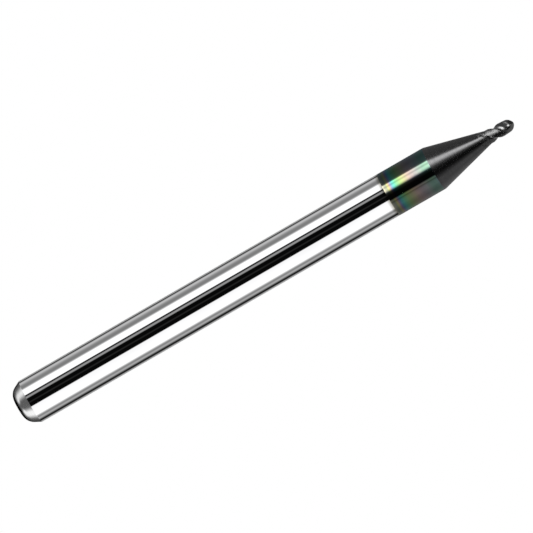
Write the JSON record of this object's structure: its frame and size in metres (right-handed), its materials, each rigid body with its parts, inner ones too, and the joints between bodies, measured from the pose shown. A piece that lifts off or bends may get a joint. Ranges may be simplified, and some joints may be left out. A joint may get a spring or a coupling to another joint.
{
  "type": "ball-nose end mill",
  "caption": "Miniature ball-nose end mill: straight polished round shank with a chamfered end, coated collar, slim cone and a tiny fluted ball-shaped cutter.",
  "frame": {"origin": "centre of the flat end face of the shank, where the tool rests when stood upright", "axes": "+Z along the tool axis, from the shank's end face to the cutting tip; +X and +Y are square to it and have no feature of their own"},
  "size_m": [0.0032, 0.0032, 0.0388],
  "materials": {
    "bare_carbide": "mirror polished",
    "coated_polished": "glossy dark thin-film coating with interference colours at its rear edge",
    "coated_ground": "satin dark coating over fine circumferential grinding",
    "coated_cutter": "semi-gloss dark coating over ground flutes"
  },
  "bodies": {
    "root": {"shank": "bare_carbide", "coated_collar": "coated_polished", "taper_neck": "coated_ground", "ball_cutter": "coated_cutter"}
  },
  "joints": []
}
